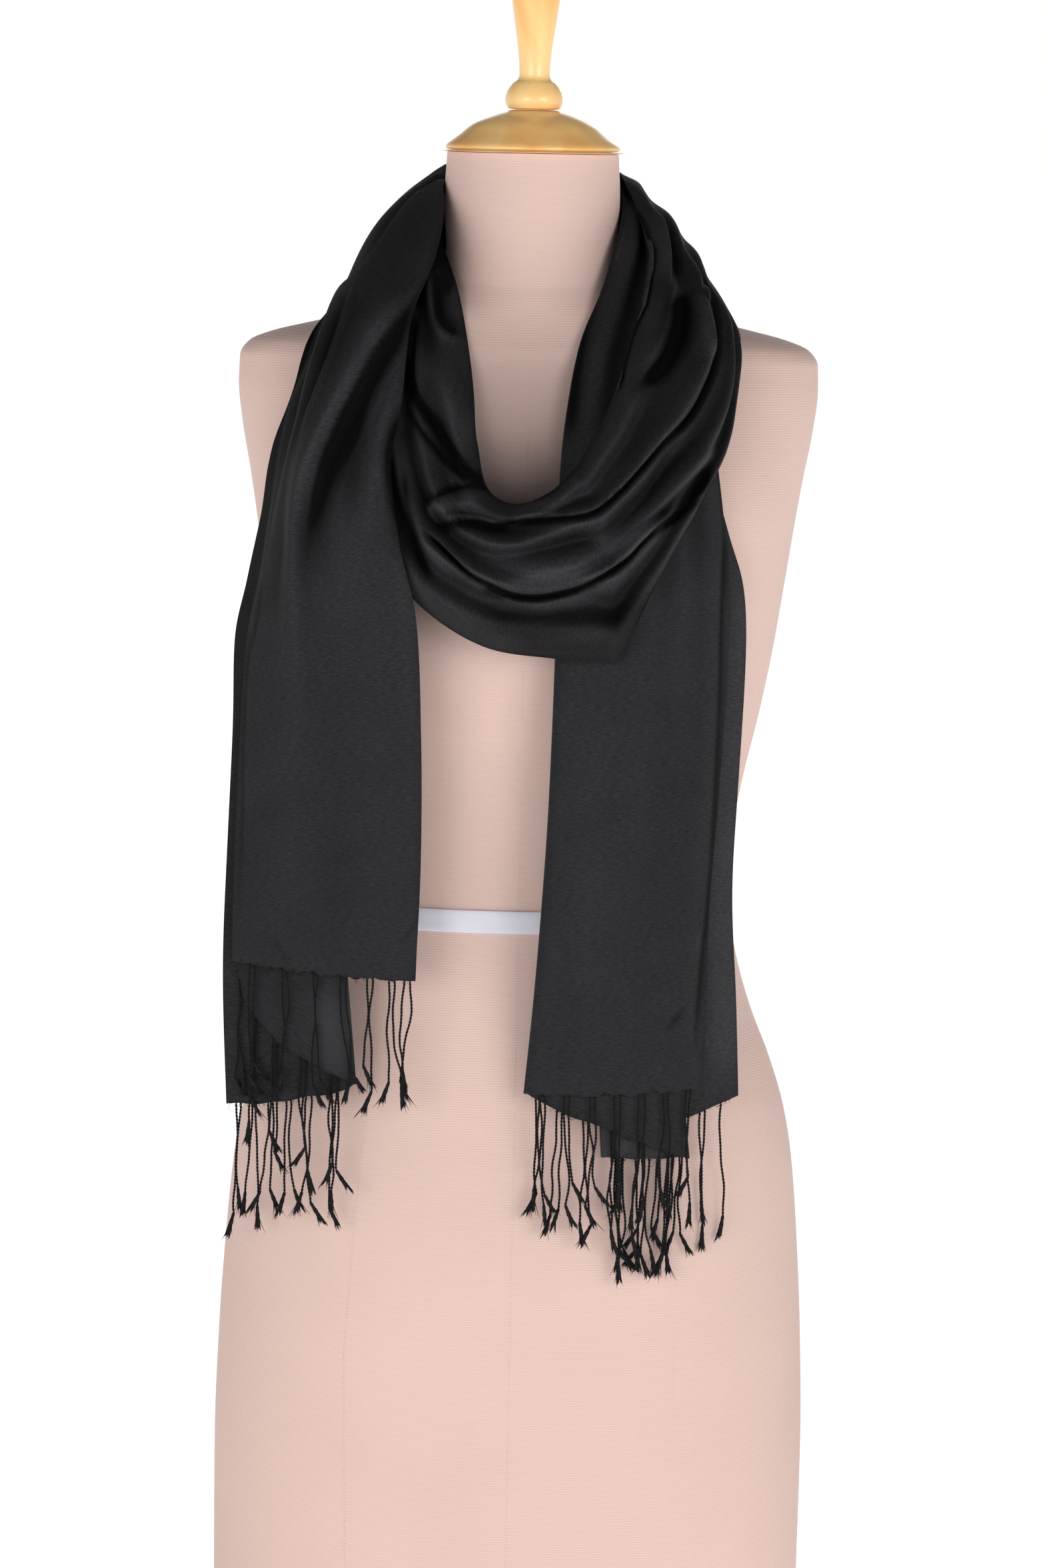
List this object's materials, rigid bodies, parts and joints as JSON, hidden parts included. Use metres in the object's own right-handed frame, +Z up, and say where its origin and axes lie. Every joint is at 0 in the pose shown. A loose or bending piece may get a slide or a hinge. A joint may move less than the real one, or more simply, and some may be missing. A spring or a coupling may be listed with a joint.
{
  "type": "fringed shawl on a limbless dress form",
  "caption": "Black fringed twill shawl wound once round the neck, both ends hanging in folded layers in front, on a pale limbless dress form with a turned wooden neck cap",
  "frame": {"origin": "centre of the dress form's flat underside, which the part stands on", "axes": "+Z up, -Y the way the form's chest faces, +X towards the right of someone who faces it"},
  "size_m": [0.385, 0.3157, 1.102],
  "materials": {
    "form_fabric": "matt, fine ribbed knit",
    "tape_satin": "satin",
    "turned_wood": "clear gloss varnish",
    "shawl_twill": "soft fine twill with a faint sheen",
    "fringe_cord": "matt twisted yarn"
  },
  "bodies": {
    "root": {"form_body": "form_fabric", "waist_tape": "tape_satin", "neck_cap": "turned_wood", "cap_handle": "turned_wood", "fall_right": "shawl_twill", "back_inner": "shawl_twill", "loop": "shawl_twill", "back_outer": "shawl_twill", "fall_left": "shawl_twill", "fringe_left_1": "fringe_cord", "fringe_left_2": "fringe_cord", "fringe_left_3": "fringe_cord", "fringe_right_1": "fringe_cord", "fringe_right_2": "fringe_cord", "fringe_right_3": "fringe_cord", "fringe_right_4": "fringe_cord"}
  },
  "joints": []
}
